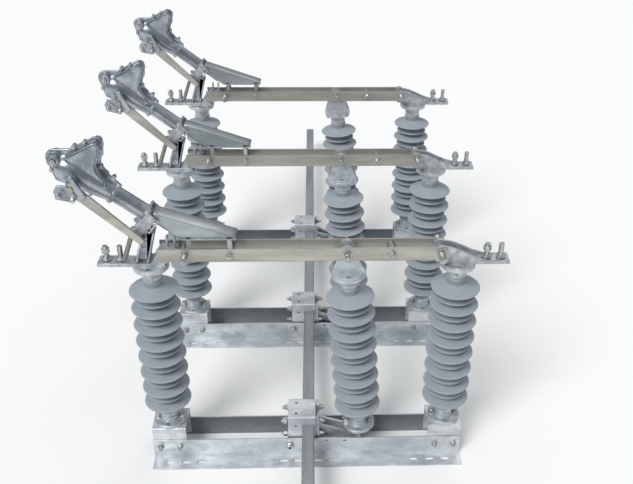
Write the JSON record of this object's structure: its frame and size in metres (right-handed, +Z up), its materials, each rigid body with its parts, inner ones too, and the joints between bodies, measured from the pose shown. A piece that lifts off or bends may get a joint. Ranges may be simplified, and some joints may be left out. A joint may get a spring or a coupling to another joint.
{
  "type": "three-pole load-break disconnect switch",
  "caption": "Gang-operated outdoor disconnect switch: poles with fixed and lift insulators, swinging blades, interrupters, and a square operating tube.",
  "frame": {"origin": "centre of the middle pole's base, on the underside of the rails' feet", "axes": "+X along each pole towards the hinge end, +Y from the front pole to the rear pole, +Z up"},
  "size_m": [1.2512, 2.645, 1.0893],
  "materials": {
    "galvanised_rail": "weathered",
    "galvanised_plate": "weathered",
    "silicone_grey": "matte",
    "cast_terminal": "satin",
    "interrupter_tube": "satin",
    "interrupter_casting": "satin",
    "tinned_bar": "satin",
    "zinc_fastener": "satin",
    "hood_sheet": "satin",
    "cast_fitting": "satin",
    "galvanised_tube": "weathered"
  },
  "bodies": {
    "base": {"base_rails_front": "galvanised_rail", "base_rails_middle": "galvanised_rail", "base_rails_rear": "galvanised_rail", "pedestals_front": "galvanised_plate", "pedestals_middle": "galvanised_plate", "pedestals_rear": "galvanised_plate", "fixed_insulators_front": "silicone_grey", "fixed_insulators_middle": "silicone_grey", "fixed_insulators_rear": "silicone_grey", "line_terminal_front": "cast_terminal", "line_terminal_middle": "cast_terminal", "line_terminal_rear": "cast_terminal", "hinge_terminal_front": "cast_terminal", "hinge_terminal_middle": "cast_terminal", "hinge_terminal_rear": "cast_terminal", "interrupter_bracket_front": "interrupter_tube", "interrupter_bracket_middle": "interrupter_tube", "interrupter_bracket_rear": "interrupter_tube", "interrupter_head_front": "interrupter_casting", "interrupter_head_middle": "interrupter_casting", "interrupter_head_rear": "interrupter_casting"},
    "drive": {"rocker_front": "galvanised_plate", "rocker_middle": "galvanised_plate", "rocker_rear": "galvanised_plate", "operating_tube": "galvanised_tube"},
    "blade_front": {"blade_bars_front": "tinned_bar", "blade_pins_front": "zinc_fastener", "blade_hood_front": "hood_sheet"},
    "lift_front": {"lift_insulator_front": "silicone_grey", "lift_fittings_front": "cast_fitting"},
    "lever_front": {"interrupter_lever_front": "tinned_bar"},
    "blade_middle": {"blade_bars_middle": "tinned_bar", "blade_pins_middle": "zinc_fastener", "blade_hood_middle": "hood_sheet"},
    "lift_middle": {"lift_insulator_middle": "silicone_grey", "lift_fittings_middle": "cast_fitting"},
    "lever_middle": {"interrupter_lever_middle": "tinned_bar"},
    "blade_rear": {"blade_bars_rear": "tinned_bar", "blade_pins_rear": "zinc_fastener", "blade_hood_rear": "hood_sheet"},
    "lift_rear": {"lift_insulator_rear": "silicone_grey", "lift_fittings_rear": "cast_fitting"},
    "lever_rear": {"interrupter_lever_rear": "tinned_bar"}
  },
  "joints": [
    {"name": "rocker_swing", "type": "hinge", "parent": "base", "child": "drive", "pos_m": [-0.0565, 0, 0.046], "axis": [0, -1, 0], "range_deg": [0, 50]},
    {"name": "blade_swing_front", "type": "hinge", "parent": "base", "child": "blade_front", "pos_m": [0.382, -0.61, 0.743], "axis": [0, 1, 0], "range_deg": [0, 39.2]},
    {"name": "lift_sway_front", "type": "hinge", "parent": "blade_front", "child": "lift_front", "pos_m": [0.1185, -0.61, 0.743], "axis": [0, 1, 0], "range_deg": [-27.7, 0]},
    {"name": "lever_swing_front", "type": "hinge", "parent": "base", "child": "lever_front", "pos_m": [-0.60323, -0.61, 0.96434], "axis": [0, -1, 0], "range_deg": [0, 18]},
    {"name": "blade_swing_middle", "type": "hinge", "parent": "base", "child": "blade_middle", "pos_m": [0.382, 0, 0.743], "axis": [0, 1, 0], "range_deg": [0, 39.2]},
    {"name": "lift_sway_middle", "type": "hinge", "parent": "blade_middle", "child": "lift_middle", "pos_m": [0.1185, 0, 0.743], "axis": [0, 1, 0], "range_deg": [-27.7, 0]},
    {"name": "lever_swing_middle", "type": "hinge", "parent": "base", "child": "lever_middle", "pos_m": [-0.60323, 0, 0.96434], "axis": [0, -1, 0], "range_deg": [0, 18]},
    {"name": "blade_swing_rear", "type": "hinge", "parent": "base", "child": "blade_rear", "pos_m": [0.382, 0.61, 0.743], "axis": [0, 1, 0], "range_deg": [0, 39.2]},
    {"name": "lift_sway_rear", "type": "hinge", "parent": "blade_rear", "child": "lift_rear", "pos_m": [0.1185, 0.61, 0.743], "axis": [0, 1, 0], "range_deg": [-27.7, 0]},
    {"name": "lever_swing_rear", "type": "hinge", "parent": "base", "child": "lever_rear", "pos_m": [-0.60323, 0.61, 0.96434], "axis": [0, -1, 0], "range_deg": [0, 18]}
  ],
  "couplings": [
    {"joint": "blade_swing_front", "follows": "rocker_swing", "ratio": 0.7801},
    {"joint": "lift_sway_front", "follows": "rocker_swing", "ratio": -0.55},
    {"joint": "blade_swing_middle", "follows": "rocker_swing", "ratio": 0.7801},
    {"joint": "lift_sway_middle", "follows": "rocker_swing", "ratio": -0.55},
    {"joint": "blade_swing_rear", "follows": "rocker_swing", "ratio": 0.7801},
    {"joint": "lift_sway_rear", "follows": "rocker_swing", "ratio": -0.55}
  ]
}
